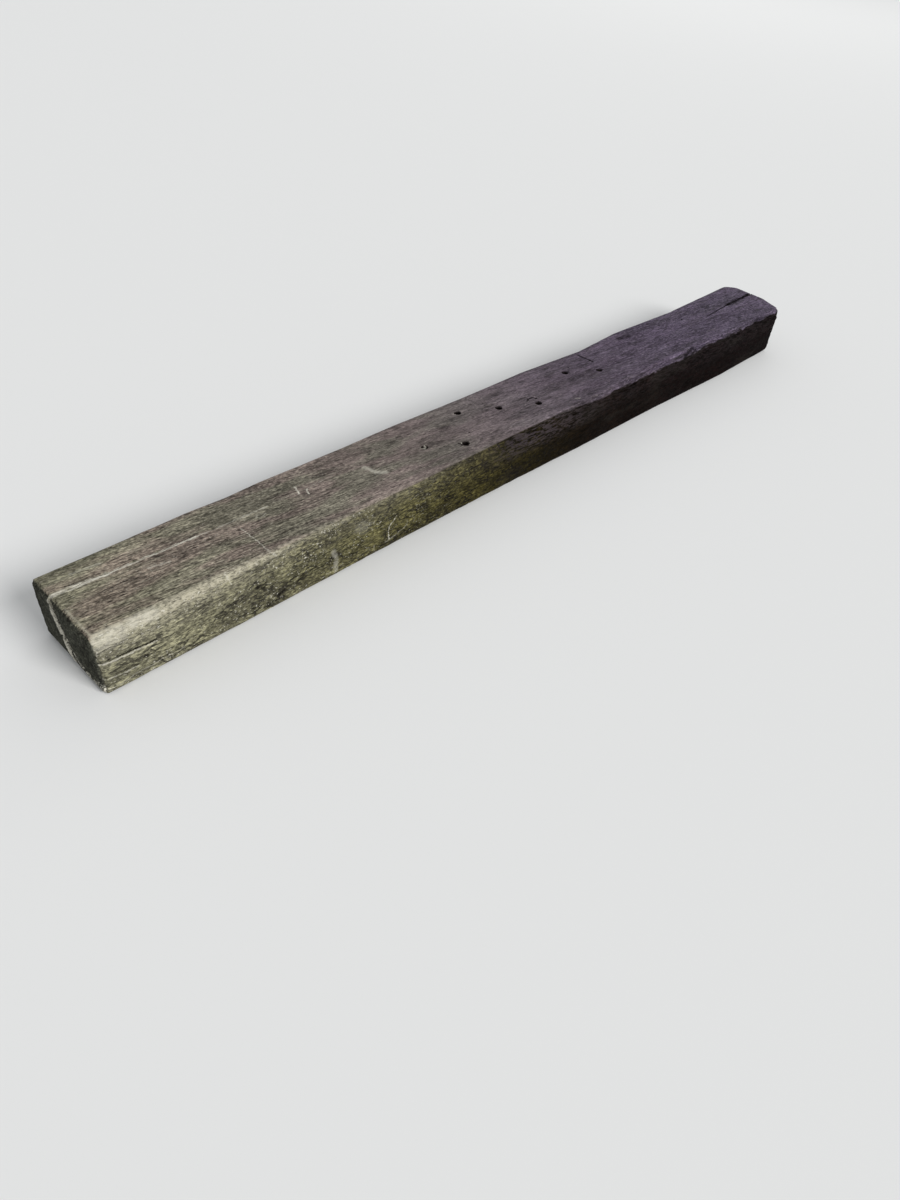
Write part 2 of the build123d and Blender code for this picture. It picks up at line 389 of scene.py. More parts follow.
# The bruise's hollows and the lip raised between them: place and half lengths
BRUISE = [((BRUISE_X, -114, 153), (17, 8, 8)), ((BRUISE_X - 38, -116, 136), (22, 8, 6))]
BRUISE_LIP = ((BRUISE_X - 10, -108, 158), (22, 6, 5))
# The visible skin lies at least so far inside the model's, in mm
LEAST_DEPTH = 0.2


def ring_phase(points):
    """Growth rings counted from the pith, a whole number at each ring's edge."""
    x, y, z = np.moveaxis(points, -1, 0)
    along = points * (1, 0, 0)
    pith_y = PITH[0] + PITH_DRIFT * x + 16 * (smooth_noise(along, (520, 1, 1), 21) - 0.5)
    pith_z = PITH[1] + 14 * (smooth_noise(along, (430, 1, 1), 22) - 0.5)
    radius = np.hypot(y - pith_y, z - pith_z)
    wander = 9 * (layered_noise(points, (380, 60, 60), 23) - 0.5)
    wander += 3 * (smooth_noise(points, (90, 16, 16), 24) - 0.5)
    for place, size, bend in KNOTS:
        away = np.linalg.norm((points - place) / KNOT_STRETCH, axis=-1) / size
        wander += bend * RING * np.exp(-away * away)
    return (radius + wander) / RING


def bump_at(points, place, size):
    """A smooth hump of height 1 at a place, with the given half lengths along X, Y and Z."""
    away = (points - np.array(place, float)) / np.array(size, float)
    return np.exp(-np.sum(away * away, axis=-1))


def zones_of(skin, normal):
    """How far each point of the skin belongs to a side, an end, an edge or a stretch of the timber."""
    x, _, z = np.moveaxis(skin, -1, 0)
    up, to_front, facing = normal[..., 2], -normal[..., 1], np.abs(normal[..., 0])
    end = ramp(facing, 0.45, 0.75)
    far = ramp(x, -250, 350)
    slant = ramp(to_front, 0.15, 0.4) * (1 - ramp(to_front, 0.94, 0.995))
    return SimpleNamespace(
        top=ramp(up, 0.6, 0.9),
        front=ramp(to_front, 0.45, 0.75),
        bed=ramp(-up, 0.6, 0.9),
        end=end,
        end_rim=ramp(facing, 0.12, 0.4),
        end_arris=ramp(facing, 0.15, 0.4) * (1 - ramp(facing, 0.8, 0.97)),
        near=1 - ramp(x, -1000, -350),
        far=far,
        wane=far * slant * (1 - end) * (z > 60),
        edge=ramp(1 - np.max(np.abs(normal), axis=-1), 0.02, 0.2),
    )


def grain_of(skin, zone):
    """Grain and damage that both the depth and the looks of the skin use."""
    ring_depth = (0.25 + 0.3 * zone.near) * (1 - zone.end) + 0.5 * zone.end
    fibre_depth = 0.4 + 0.4 * zone.near * zone.top + 0.8 * zone.front + 0.15 * zone.far
    fibre = layered_noise(skin, (45, 6, 6), 31, 2)
    place, size, _ = KNOTS[0]
    return SimpleNamespace(
        rings_cut=ring_depth * (0.5 + 0.5 * np.cos(2 * np.pi * ring_phase(skin))),
        fibre_cut=fibre_depth * fibre,
        fibre=fibre,
        pitted=ramp(layered_noise(skin, (26, 11, 11), 33, 2), 0.56, 0.8),
        scarred=ramp(smooth_noise(skin, (60, 14, 14), 35), 0.6, 0.85),
        frayed=layered_noise(skin, (16, 7, 7), 39, 2),
        bruise=sum(bump_at(skin, at, half) for at, half in BRUISE),
        knot=bump_at(skin, place, (1.3 * size, 0.8 * size, 0.8 * size)),
        pits=sum(bump_at(skin, at, (1.5 * wide, wide, 0.8 * wide)) for at, wide in PITS),
    )


def eaten_depth(skin, zone, grain):
    """How deep the weather has eaten at each point of the skin, in mm."""
    swell = layered_noise(skin, (240, 55, 55), 32, 2)
    creased = 1 - np.abs(2 * layered_noise(skin, (120, 18, 18), 34, 3) - 1)
    rough_end = layered_noise(skin, (14, 9, 9), 36, 3)
    gnarled = ramp(layered_noise(skin, (24, 7, 7), 37, 2), 0.4, 0.65)
    chipped = ramp(layered_noise(skin, (34, 18, 18), 38, 2), 0.6, 0.85)
    lumpy = ramp(layered_noise(skin, (30, 16, 16), 40, 2), 0.35, 0.65)
    lumps = np.interp(skin[..., 0], [-1000, -600, 100, 300], [0.2, 1, 1, 0.4])

    depth = grain.rings_cut + grain.fibre_cut + 0.8 * swell * (1 - zone.bed)
    depth += (1.6 * zone.front + 0.6 * zone.top * zone.near) * grain.pitted
    depth += zone.wane * (3.2 * ramp(creased, 0.72, 0.98) + 3.0 * grain.scarred + 0.8 * grain.fibre)
    depth += zone.end * 2.2 * rough_end
    depth += zone.edge * (0.6 + 1.6 * zone.front) * chipped
    depth += zone.end_arris * 3.0 * grain.frayed
    depth += 2.6 * zone.front * lumps * lumpy
    depth += 7 * grain.bruise - 1.5 * bump_at(skin, *BRUISE_LIP)
    depth += 2.0 * grain.knot * gnarled
    depth += 4.5 * grain.pits
    return np.maximum(depth, LEAST_DEPTH)


def worn_pale_and_lit(skin, normal, zone):
    """How pale the near front arris and the upper front are: wear, with a painted highlight on the arris and
    painted light on the upper front, both fading away from the near end.
    """
    x, y, z = np.moveaxis(skin, -1, 0)
    up = normal[..., 2]
    patchy = layered_noise(skin, (70, 16, 16), 41, 3)
    arris = ramp(up, 0.2, 0.55) * (1 - ramp(up, 0.985, 0.999)) * (y < 0) * (1 - zone.end_rim)
    on_arris = np.interp(x, [-1300, -1010, -850, -700, -450, -150], [1.0, 0.95, 0.52, 0.26, 0.1, 0.0])
    on_front = np.interp(x, [-1300, -1050, -800, -500, -100], [0.8, 0.5, 0.24, 0.14, 0.0])
    upper = ramp(z, 30, 150) * zone.front
    pale = arris * on_arris * (0.5 + 0.9 * patchy)
    return pale + on_front * (0.15 * zone.front + 0.95 * upper * upper) * (0.3 + 1.1 * patchy)


def darkened(skin, zone, grain):
    """How dark the knot, pits, bruise, scars and damp patches are."""
    front_patches = ramp(layered_noise(skin, (110, 30, 30), 42, 3), 0.56, 0.72)
    top_patches = ramp(layered_noise(skin, (150, 26, 26), 43, 3), 0.58, 0.74)
    dark = grain.knot * 0.7 + grain.pits + 0.7 * grain.bruise + 0.6 * zone.wane * grain.scarred
    return dark + 0.4 * zone.front * front_patches + 0.3 * zone.top * top_patches


def skin_looks(skin, normal, zone, grain):
    """The fields that the material reads at each point of the skin."""
    x, y, z = np.moveaxis(skin, -1, 0)
    to_front = -normal[..., 1]
    # On the far half the top's colour reaches down over the arris, to this height
    lowest = np.interp(x, [70, 240, 720, 800], [152, 141, 137, 144])
    to_top = ramp(z + 14 * (grain.frayed - 0.5), lowest, lowest + 6)
    bark = ramp(z, 70, 115) * ramp(x, -280, -40) * (1 - zone.end) * (1 - to_top) * (to_front > 0.2)
    # The far front takes the front colours, which are painted near black there as shade.
    far_front = zone.far * ramp(to_front, 0.4, 0.8) * (1 - to_top)
    # Painted shade and highlight: low where the weather eats deep into the grain, high on the ridges.
    relief_shading = 1 - np.clip(grain.rings_cut + grain.fibre_cut + 1.2 * grain.pitted, 0, 2.2) / 2.2
    return {
        "top_side": np.maximum(zone.top, zone.far * to_top * (y < 0)),
        "front_side": zone.front * (1 - zone.far) + far_front,
        "end_side": zone.end,
        "wane": bark,
        "relief_shading": relief_shading,
        # Pale wear, with the painted highlight of the near arris and the upper front.
        "pale": np.clip(worn_pale_and_lit(skin, normal, zone), 0, 1.2),
        "dark": np.clip(darkened(skin, zone, grain), 0, 1),
    }


# Holes, splits and checks, cut out of the skin

# How far the cutters stand out of the wood. Those of splits and checks also have a distance between
# stations, an overrun at an end and half the width of the root.
CUTTER_LIP = 4
WEDGE_STEP = 11
WEDGE_OVERRUN = 25
ROOT_HALF_WIDTH = 0.12
SHARP_ANGLE = 0.9
# A vertex this deep below the skin, in mm, begins to be and then is a cut's wall
CUT_DEPTHS = (0.7, 2.4)
# The step at the near end isn't a cut: it keeps the end's colour
STEP_CLEAR = 14


def close_loops(shape, loops):
    """Join loops of vertices into a closed skin, capped at both ends."""
    for low, high in zip(loops, loops[1:]):
        for k in range(len(low)):
            after = (k + 1) % len(low)
            shape.faces.new((low[k], low[after], high[after], high[k]))
    shape.faces.new(reversed(loops[0]))
    shape.faces.new(loops[-1])


def irregular_bore(shape, place, rings, seed, sides=30):
    """Add a closed turned cutter to a bmesh: rings of height and radius, a little out of round."""
    chance = np.random.default_rng(seed)
    wave = chance.uniform(0.2, 0.5, 3)
    phase = chance.uniform(0, 2 * np.pi, 3)
    loops = []
    for height, radius in rings:
        loop = []
        for k in range(sides):
            angle = 2 * np.pi * k / sides
            ragged = sum(wave[n] * np.sin((n + 2) * angle + phase[n] + 0.01 * height * n) for n in range(3))
            r = radius * (1 + 0.05 * ragged)
            loop.append(shape.verts.new((place[0] + r * np.cos(angle), place[1] + r * np.sin(angle), height)))
        loops.append(loop)
    close_loops(shape, loops)


def wedge_outline(width, depth, sway):
    """Outline across a split: how deep and how far aside each of its points lies."""
    rim = min(2.5, 0.2 * depth)
    return [
        (-CUTTER_LIP, -width / 2),
        (-CUTTER_LIP, width / 2),
        (rim, 0.46 * width),
        (0.45 * depth, 0.3 * width + sway),
        (depth, ROOT_HALF_WIDTH),
        (depth, -ROOT_HALF_WIDTH),
        (0.55 * depth, -0.2 * width + sway),
        (rim, -0.46 * width),
    ]


def add_wedge(shape, sections, opens, seed):
    """Add a cutter with wandering walls for a split, which opens up, or a check, which opens front."""
    first, last = sections[0][0], sections[-1][0]
    first -= WEDGE_OVERRUN if first <= -HALF else 0
    last += WEDGE_OVERRUN if last >= HALF else 0
    stations = np.linspace(first, last, int((last - first) / WEDGE_STEP) + 1)
    mouth, width, depth, lean = along_sections(stations, sections)
    at = np.stack([stations, 0 * stations, 0 * stations], axis=-1)
    mouth = mouth + 3.2 * (layered_noise(at, (60, 1, 1), seed) - 0.5)
    width = width * (0.7 + 0.7 * layered_noise(at, (26, 1, 1), seed + 5))
    sway = 5 * (layered_noise(at, (45, 1, 1), seed + 9) - 0.5) * np.minimum(depth / 60, 1)
    loops = []
    for k, x in enumerate(stations):
        loop = []
        for sunk, across in wedge_outline(width[k], depth[k], sway[k]):
            aside = mouth[k] + across + lean[k] * max(sunk, 0) / depth[k]
            place = (x, aside, HEIGHT - sunk) if opens == "up" else (x, CHECK_FACE_Y + sunk, aside)
            loop.append(shape.verts.new(place))
        loops.append(loop)
    close_loops(shape, loops)


def add_bore_cutters(shape, number, place):
    """Add a bore's cutters: one through the timber, or two that leave the dirt in its mouth."""
    shaft = [(-3, BORE_RADIUS), (50, BORE_RADIUS)]
    mouth = [(HEIGHT - 1.6, BORE_RADIUS + MOUTH_WEAR), (HEIGHT + 1.5, MOUTH_RADIUS + MOUTH_WEAR)]
    if number not in CLOGGED:
        upper = [(z, BORE_RADIUS) for z in (110, HEIGHT - 18, HEIGHT - 6)]
        irregular_bore(shape, place, shaft + upper + mouth, seed=number)
        return
    floor = HEIGHT - CLOGGED[number]
    irregular_bore(shape, place, shaft + [(floor - CLOG_THICKNESS, BORE_RADIUS)], seed=number)
    rings = [(floor, CLOG_RADIUS)] + [ring for ring in mouth if ring[0] > floor + 0.5]
    irregular_bore(shape, place, rings, seed=number)


def add_step(shape):
    """Add the cutter for the step beside the near end's split: a ragged wall and a rough floor."""
    loops = []
    outside = -HALF - CUTTER_LIP
    for z in np.linspace(-CUTTER_LIP, HEIGHT + CUTTER_LIP, 43):
        wall = STEP_Y - STEP_LEAN * (HEIGHT - z) / HEIGHT
        wall += 3.0 * (layered_noise(np.array([0.0, 0.0, z]), (1, 1, 9), 61) - 0.5)
        loop = [shape.verts.new((outside, wall, z))]
        for share in np.linspace(0, 1, 12):
            y = wall - share * STEP_RUN
            rough = 3.0 * (layered_noise(np.array([0.0, y, z]), (1, 8, 12), 62) - 0.5)
            x = -HALF + STEP_DEPTH * (1 - share) + rough * (1 - share)
            loop.append(shape.verts.new((x, y, z)))
        loop.append(shape.verts.new((outside, wall - STEP_RUN - 20, z)))
        loops.append(loop)
    close_loops(shape, loops)


def add_nail_hole(shape, place, radius, depth, seed):
    """Add the cutter for a nail hole, which narrows on its way down."""
    rings = [(HEIGHT - depth, 0.7 * radius), (HEIGHT - 3, radius), (HEIGHT + 2, 1.15 * radius)]
    irregular_bore(shape, place, rings, seed, sides=14)


def add_score(shape):
    """Add the cutter for the blade's score, which is narrow at both ends."""
    start, end = np.array(SCORE)
    loops = []
    for share in np.linspace(0, 1, 9):
        x, y = start * (1 - share) + end * share
        half = SCORE_HALF_WIDTH if 0 < share < 1 else SCORE_HALF_WIDTH / 3
        outline = ((-half, 1), (0, -SCORE_DEPTH), (half, 1))
        loops.append([shape.verts.new((x + dx, y, HEIGHT + dz)) for dx, dz in outline])
    close_loops(shape, loops)


def cutters():
    """One mesh object with every hole, split, check and score in it."""
    shape = bmesh.new()
    for number, place in enumerate(BORES):
        add_bore_cutters(shape, number, place)
    for n, (x, y, radius, depth) in enumerate(NAIL_HOLES):
        add_nail_hole(shape, (x, y), radius, depth, seed=20 + n)
    add_wedge(shape, SPLIT_NEAR, "up", 51)
    add_wedge(shape, SPLIT_FAR, "up", 52)
    add_wedge(shape, CHECK_UPPER, "front", 53)
    add_wedge(shape, CHECK_LOWER, "front", 54)
    add_step(shape)
    add_score(shape)
    bmesh.ops.recalc_face_normals(shape, faces=shape.faces)
    bmesh.ops.scale(shape, vec=(MM, MM, MM), verts=shape.verts)
    mesh = bpy.data.meshes.new("cutters")
    shape.to_mesh(mesh)
    shape.free()
    return bpy.data.objects.new("cutters", mesh)


def cut_away(mesh, cutter):
    """The mesh with the cutter taken out of it."""
    body = bpy.data.objects.new("body_to_cut", mesh)
    for thing in (body, cutter):
        bpy.context.collection.objects.link(thing)
    cut = body.modifiers.new("cut", "BOOLEAN")
    cut.operation = "DIFFERENCE"
    cut.solver = "MANIFOLD"
    cut.object = cutter
    graph = bpy.context.evaluated_depsgraph_get()
    result = bpy.data.meshes.new_from_object(body.evaluated_get(graph))
    for thing in (body, cutter):
        bpy.data.objects.remove(thing)
    return result


def write_looks(mesh, skin, normal, looks):
    """Store the looks of the nearest point of the skin on each vertex, its depth in a cut, and its ring."""
    count = len(mesh.vertices)
    places = np.empty(3 * count)
    mesh.vertices.foreach_get("co", places)
    places = places.reshape(-1, 3)
    grid = (skin * MM).reshape(-1, 3)
    finder = KDTree(len(grid))
    for i, point in enumerate(grid):
        finder.insert(point, i)
    finder.balance()
    nearest = [finder.find(point) for point in places]
    index = np.array([n[1] for n in nearest])
    below = np.sum((grid[index] - places) * normal.reshape(-1, 3)[index], axis=-1) / MM
    fields = {name: field.reshape(-1)[index] for name, field in looks.items()}
    # The walls of holes, splits, checks and the score are painted dark as shade.
    fields["cut"] = ramp(below, *CUT_DEPTHS) * (places[:, 0] > (-HALF + STEP_CLEAR) * MM)
    fields["rings"] = ring_phase(places / MM)
    for name, values in fields.items():
        attribute = mesh.attributes.new(name, "FLOAT", "POINT")
        attribute.data.foreach_set("value", values.astype(np.float32))


def build_timber():
    """The sleeper's timber as one closed mesh."""
    skin = read_skin(frame["nodes"]["sleeper"])
    normal = grid_normals(skin)
    zone = zones_of(skin, normal)
    grain = grain_of(skin, zone)
    looks = skin_looks(skin, normal, zone, grain)
    skin = skin - normal * eaten_depth(skin, zone, grain)[..., None]
    mesh = cut_away(skin_mesh(skin, "timber_skin"), cutters())
    write_looks(mesh, skin, grid_normals(skin), looks)
    mesh.polygons.foreach_set("use_smooth", [True] * len(mesh.polygons))
    mesh.set_sharp_from_angle(angle=SHARP_ANGLE)
    mesh.materials.clear()
    mesh.materials.append(timber_material())
    mesh.name = "sleeper_timber"
    return bpy.data.objects.new("sleeper_timber", mesh)


# Material

class Paint:
    """Short calls for the nodes of one procedural material."""

    def __init__(self, name):
        self.material = bpy.data.materials.new(name)
        self.material.use_nodes = True
        self.tree = self.material.node_tree
        self.shader = self.tree.nodes["Principled BSDF"]
        coordinates = self.tree.nodes.new("ShaderNodeTexCoord")
        self.place = coordinates.outputs["Object"]
        self.grain = self.place

    def put(self, socket, value):
        """Link a socket to a value's output, or set it."""
        if isinstance(value, bpy.types.NodeSocket):
            self.tree.links.new(value, socket)
        else:
            socket.default_value = value

    def node(self, kind, inputs, **settings):
        """A new node with its settings, and its inputs linked or set."""
        node = self.tree.nodes.new("ShaderNode" + kind)
        for name, value in settings.items():
            setattr(node, name, value)
        for key, value in inputs.items():
            self.put(node.inputs[key], value)
        return node

    def math(self, operation, first, second=0.0):
        return self.node("Math", {0: first, 1: second}, operation=operation).outputs[0]

    def chain(self, operation, values):
        """One operation over several values in turn."""
        result = values[0]
        for value in values[1:]:
            result = self.math(operation, result, value)
        return result

    def product(self, *values):
        return self.chain("MULTIPLY", values)

    def total(self, *values):
        return self.chain("ADD", values)

    def most(self, *values):
        return self.chain("MAXIMUM", values)

    def vector(self, operation, first, second=(0, 0, 0)):
        inputs = {0: first, "Scale" if operation == "SCALE" else 1: second}
        node = self.node("VectorMath", inputs, operation=operation)
        return node.outputs["Value" if operation in ("DOT_PRODUCT", "DISTANCE") else "Vector"]

    def span(self, value, low, high, start=0.0, end=1.0):
        """Smooth step of a value from start at low to end at high."""
        inputs = {"Value": value, "From Min": low, "From Max": high, "To Min": start, "To Max": end}
        return self.node("MapRange", inputs, interpolation_type="SMOOTHSTEP").outputs["Result"]

    def field(self, name):
        """A number stored on the mesh's vertices."""
        return self.node("Attribute", {}, attribute_name=name).outputs["Fac"]

    def spread(self, size):
        """The place in the grain, in features of the given size in mm along X, Y and Z."""
        return self.vector("MULTIPLY", self.grain, tuple(1 / (s * MM) for s in size))

    def noise(self, size, detail=3, shift=0, rough=0.55, warp=0.0, output="Fac"):
        """Noise from 0 to 1, with features of the given size."""
        place = self.vector("ADD", self.spread(size), (shift, 1.7 * shift, 0.6 * shift))
        inputs = {"Vector": place, "Scale": 1.0, "Detail": detail, "Roughness": rough, "Distortion": warp}
        return self.node("TexNoise", inputs).outputs[output]

    def cells(self, size, shift=0):
        """How far a point is from the edge of its cell, in cells of the given size."""
        sway = self.vector("SCALE", self.noise((24, 10, 10), 2, shift=shift + 60, output="Color"), 0.7)
        inputs = {"Vector": self.vector("ADD", self.spread(size), sway), "Scale": 1.0}
        return self.node("TexVoronoi", inputs, feature="DISTANCE_TO_EDGE").outputs["Distance"]

    def mix(self, first, second, factor, blend="MIX"):
        """Mix two colours."""
        node = self.node("Mix", {}, data_type="RGBA", blend_type=blend)
        self.put(node.inputs["Factor"], factor)
        for name, value in (("A", first), ("B", second)):
            socket = [s for s in node.inputs if s.name == name and s.type == "RGBA"][0]
            self.put(socket, (*value, 1) if isinstance(value, tuple) else value)
        return [s for s in node.outputs if s.type == "RGBA"][0]

    def along(self, value, stops):
        """Colour that changes along X, through stops of x in mm and colour."""
        node = self.tree.nodes.new("ShaderNodeValToRGB")
        node.color_ramp.interpolation = "B_SPLINE"
        points = node.color_ramp.elements
        while len(points) < len(stops):
            points.new(0.5)
        for point, (x, colour) in zip(points, stops):
            point.position = (x + HALF) / LENGTH
            point.color = (*colour, 1)
        share = self.math("MULTIPLY", value, 1 / (LENGTH * MM))
        self.put(node.inputs["Fac"], self.math("ADD", share, 0.5))
        return node.outputs["Color"]

    def grey(self, value):
        """A grey from a number."""
        return self.node("CombineColor", {0: value, 1: value, 2: value}).outputs[0]

    def stroke(self, place, points, width):
        """1 along a chain of straight strokes through points in metres, fading at its edges."""
        gaps = []
        for start, end in zip(points, points[1:]):
            run = end - start
            away = self.vector("SUBTRACT", place, tuple(start))
            share = self.vector("DOT_PRODUCT", away, tuple(run / run.length_squared))
            share = self.math("MINIMUM", self.math("MAXIMUM", share, 0.0), 1.0)
            gaps.append(self.vector("DISTANCE", away, self.vector("SCALE", tuple(run), share)))
        half = width / 2
        return self.span(self.chain("MINIMUM", gaps), 0.35 * half, 1.6 * half, 1.0, 0.0)

    def strokes(self, place, marks, axes):
        """The strongest of several marks on the plane of two axes."""
        flat = self.vector("MULTIPLY", place, tuple(float(axis in axes) for axis in range(3)))
        drawn = []
        for width, strength, *points in marks:
            points = [on_plane(point, axes) * MM for point in points]
            drawn.append(self.product(self.stroke(flat, points, width * MM), strength))
        return self.most(*drawn)


def on_plane(point, axes):
    """A point given on the plane of two axes, with 0 on the third."""
    place = Vector((0, 0, 0))
    for axis, value in zip(axes, point):
        place[axis] = value
    return place


# Colours of the wood along X, as linear shares of red, green and blue. Besides the wood's own tone they hold
# painted light: bright at the near end and darker towards the far end, a mauve cast of the light on the far
# top, and painted shade that leaves the far front near black.
TOP_COLOURS_AND_PAINTED_LIGHT = [
    (-1300, (0.250, 0.226, 0.170)),
    (-1000, (0.180, 0.158, 0.127)),
    (-400, (0.160, 0.141, 0.124)),
    (150, (0.091, 0.069, 0.090)),
    (700, (0.074, 0.058, 0.089)),
    (1300, (0.072, 0.056, 0.084)),
]
FRONT_COLOURS_AND_PAINTED_LIGHT = [
    (-1300, (0.186, 0.177, 0.115)),
    (-1000, (0.166, 0.157, 0.098)),
    (-700, (0.092, 0.084, 0.036)),
    (-400, (0.060, 0.052, 0.015)),
    (-80, (0.011, 0.008, 0.002)),
    (250, (0.0035, 0.0015, 0.0015)),
]
HIDDEN_COLOURS_AND_PAINTED_LIGHT = [
    (-1300, (0.085, 0.076, 0.056)),
    (-400, (0.074, 0.062, 0.050)),
    (300, (0.046, 0.036, 0.040)),
    (1300, (0.036, 0.027, 0.034)),
]
# The ends: the end grain's own dark tone, made darker still with painted shade.
NEAR_END_SHADED = (0.052, 0.054, 0.040)
FAR_END_SHADED = (0.030, 0.023, 0.026)
WANE = (0.048, 0.038, 0.041)
MAUVE_TINT = (1.04, 0.955, 0.98)
OLIVE_TINT = (0.975, 1.02, 0.94)
WORN_PALE_AND_HIGHLIGHT = (0.460, 0.425, 0.325)
TORN_PALE = (0.640, 0.610, 0.520)
# Pale flecks of the grain, also used for painted glints.
FLECK_AND_GLINT = (0.360, 0.330, 0.260)
FAR_FLECK_AND_SHEEN = (0.200, 0.170, 0.215)
GROOVE = (0.020, 0.017, 0.014)
OLIVE_FLECK_AND_GLINT = (0.230, 0.215, 0.120)
# Near-black stains, also painted as shade in cracks and cuts.
STAIN_AND_SHADE = (0.004, 0.003, 0.003)
# Painted shade on the walls of cuts.
CUT_WALL_SHADE = (0.012, 0.009, 0.008)

# Axes of the planes on which the marks are drawn
ON_TOP, ON_FRONT, ON_END = (0, 1), (0, 2), (1, 2)
# Marks drawn on the wood: width and strength, then a chain of points, in mm on the marked side's plane
PALE_TOP = [
    (10, 1.0, (-1300, 49), (-1240, 46), (-1174, 42)),
    (6, 0.85, (-1174, 42), (-1093, 40), (-972, 35)),
    (4, 0.5, (-972, 35), (-885, 33), (-790, 31)),
    (3, 0.2, (-776, 35), (-700, 31), (-600, 38)),
    (5, 0.4, (-1101, 6), (-1057, -2)),
    (6, 0.25, (-1232, 86), (-1170, 80)),
    (2.8, 0.5, (-882, -1), (-879, -44), (-877, -98)),
    (4.5, 1.0, (-699, 52), (-705, 26)),
    (4, 0.8, (-682, 30), (-688, 12)),
    (2.6, 0.3, (-834, 14), (-822, 20), (-808, 13), (-820, 6), (-834, 12)),
    (12, 0.42, (-518, 15), (-507, -16), (-488, -31)),
]
# Pale grit in the bore mouths, with painted glints on their wet rims.
GRIT_AND_GLINTS = [
    (7, 0.7, (-345, -3), (-338, -8)),
    (4, 0.6, (-333, -1), (-331, -4)),
    (5, 1.0, (-246, -50), (-242, -59)),
    (4, 0.3, (-162, 60), (-157, 66)),
    (5, 0.25, (178, -79), (190, -87)),
]
# Dark strokes on the top: stains, with painted shade along the score, the splits, the bruise and in a bore's
# mouth.
DARK_AND_SHADE_TOP = [
    (3, 0.5, (-460, 64), (-470, 52), (-486, 47)),
    (7, 0.9, (-253, -46), (-252, -58), (-242, -67)),
    (6, 1.0, (52, -8), (62, -2), (76, -4), (85, -14)),
    (12, 0.35, (238, -12), (270, -4), (300, -6)),
    (18, 0.7, (585, 82), (600, 74), (628, 72)),
    (6, 1.0, *SCORE),
    (9, 0.5, (268, 36), (279, 30)),
    (8, 0.6, (362, -12), (376, -17)),
    (6, 0.8, (974, 3), (1060, 10), (1131, 15)),
    (15, 1.0, (1131, 15), (1300, 20)),
    (3, 0.5, (384, 98), SCORE[0]),
    (6, 0.9, (694, -108), (724, -101), (745, -96), (763, -101), (768, -112)),
]
# Pale strokes on the front: torn fibres and scrapes, with painted highlights on the lips below the checks and
# along the near arris.
PALE_AND_LIT_FRONT = [
    (4, 0.6, (-1300, 90), (-1229, 85), (-1165, 82)),
    (3, 0.45, (-1290, 47), (-1237, 41), (-1212, 40)),
    (3, 0.25, (-1300, 12), (-1220, 20), (-1110, 26)),
    (2.6, 0.5, (-990, 158), (-987, 146), (-984, 133)),
    (3.5, 0.5, (-878, 160), (-867, 148)),
    (12, 0.3, (-714, 80), (-706, 52), (-709, 17)),
    (34, 0.12, (-635, 112), (-620, 106)),
    (2.5, 0.7, (-522, 93), (-541, 73), (-549, 53), (-544, 31)),
    (3, 0.3, (-556, 28), (-512, 38), (-488, 52)),
    (26, 0.4, (-1200, 152), (-1160, 150)),
    (34, 0.35, (-1296, 138), (-1230, 144)),
]
# Dark strokes on the front: painted shade along the two checks, in the pits by the knot and round the bruise,
# and dark stains.
DARK_AND_SHADE_FRONT = [
    (5, 0.9, (-1300, 96), (-1229, 91), (-1165, 87)),
    (4, 0.6, (-1300, 55), (-1237, 47), (-1212, 45)),
    (13, 0.85, (-924, 86), (-908, 80)),
    (10, 0.85, (-868, 31), (-852, 38)),
    (4, 0.5, (-844, 46), (-828, 44)),
    (12, 0.8, (-815, 46), (-800, 55)),
    (6, 0.5, (-1082, 108), (-1060, 112)),
    (6, 0.6, (-640, 60), (-632, 48)),
    (5, 0.8, (724, 150), (742, 158), (762, 154), (766, 142)),
    (7, 0.7, (672, 124), (712, 136), (754, 140)),
]
# The pale strip on the near end, beside the step: torn wood with a painted highlight of its lit wall.
PALE_AND_LIT_END = [(8, 1.0, (54, 160), (40, 120), (12, 40), (0, 6))]
TORN_END = [
    (16, 1.0, (14, 66), (-12, 34), (-62, 18)),
    (10, 0.8, (-62, 18), (-100, 15)),
    (18, 1.0, (-98, 22), (-112, 10)),
]
GRAIN_SLOPE = 0.10
MARK_SHAKE = 13 * MM
BUMP_HEIGHT = 2.5 * MM
SPECULAR = 0.03


# In the functions below, x is the place along the timber in metres

def wood_noises(paint, x):
    """The material's noises, which follow the slope of the grain."""
    slant = paint.vector("SCALE", (0, GRAIN_SLOPE, 0), x)
    paint.grain = paint.vector("ADD", paint.place, slant)
    cracks = paint.span(paint.cells((34, 15, 15), shift=3), 0.03, 0.12, 1.0, 0.0)
    cracked = paint.span(paint.noise((60, 30, 30), 2, shift=36), 0.4, 0.6)
    lichen = paint.span(paint.noise((6, 4.5, 4.5), 2, shift=66, rough=0.6), 0.6, 0.7)
    clumps = paint.span(paint.noise((80, 45, 45), 3, shift=71), 0.42, 0.6, 0.1, 0.8)
    return SimpleNamespace(
        fine=paint.noise((13, 2.6, 2.6), 3, rough=0.65),
        fibre=paint.noise((26, 4.8, 4.8), 3, shift=5, warp=0.6),
        streak=paint.noise((120, 12, 12), 3, shift=9),
        blotch=paint.noise((140, 50, 50), 4, shift=14),
        speck=paint.noise((9, 5.5, 5.5), 2, shift=20, rough=0.6),
        pits=paint.noise((22, 9, 9), 2, shift=27),
        cracks=paint.product(cracks, cracked, paint.span(x, -0.1, 0.2, 1.0, 0.0)),
        line=paint.noise((95, 4, 4), 2, shift=52),
        lichen=paint.product(lichen, clumps, paint.span(x, -0.8, -0.2, 1.0, 0.0)),
    )


